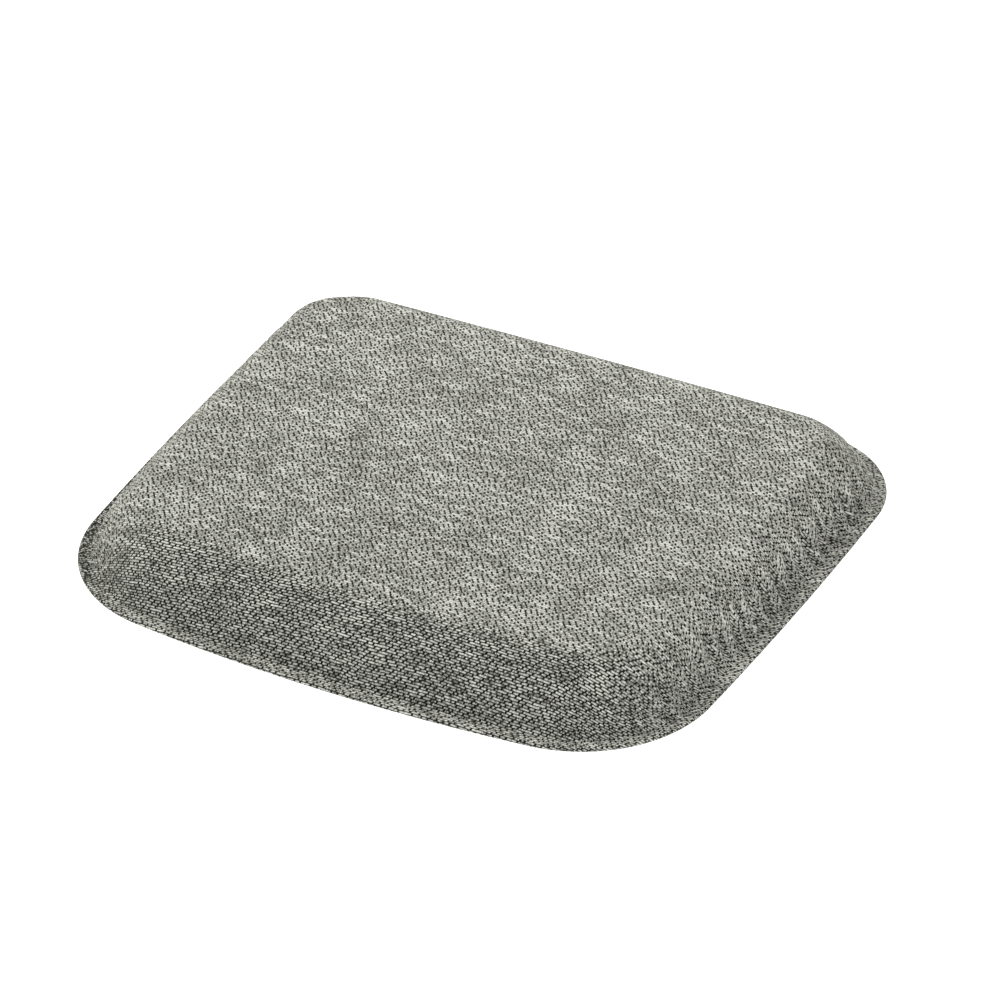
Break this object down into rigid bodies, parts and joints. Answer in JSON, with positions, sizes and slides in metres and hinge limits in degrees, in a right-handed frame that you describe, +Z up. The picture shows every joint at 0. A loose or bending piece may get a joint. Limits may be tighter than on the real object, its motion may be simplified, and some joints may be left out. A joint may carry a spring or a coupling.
{
  "type": "kneeling pad",
  "caption": "Soft moulded-foam pad with rounded corners, a bowed front edge, a woven melange cover and a thin flat rim; for kneeling or sitting on.",
  "frame": {"origin": "on the resting plane, under the middle of the pad's outline", "axes": "+X along the pad's width, -Y towards the bowed front edge, +Z up"},
  "size_m": [0.4448, 0.392, 0.043],
  "materials": {
    "cover_fabric": "coarse woven melange, grey-green and near-black yarns",
    "lining_wadding": "thin polyester wadding",
    "foam": "open-cell moulded foam",
    "felt": "needled felt",
    "base_textile": "plain woven anti-slip textile",
    "grip_rubber": "satin printed dots",
    "thread": "twisted polyester sewing thread",
    "label_satin": "satin ribbon, blank",
    "label_thread": "sewing thread"
  },
  "bodies": {
    "root": {"top_cover": "cover_fabric", "cover_lining": "lining_wadding", "foam_core": "foam", "base_sheet": "felt", "base_panel": "base_textile", "grip_dots": "grip_rubber", "hem_stitches": "thread", "hem_overlock": "thread", "care_label": "label_satin", "label_stitches": "label_thread"}
  },
  "joints": []
}
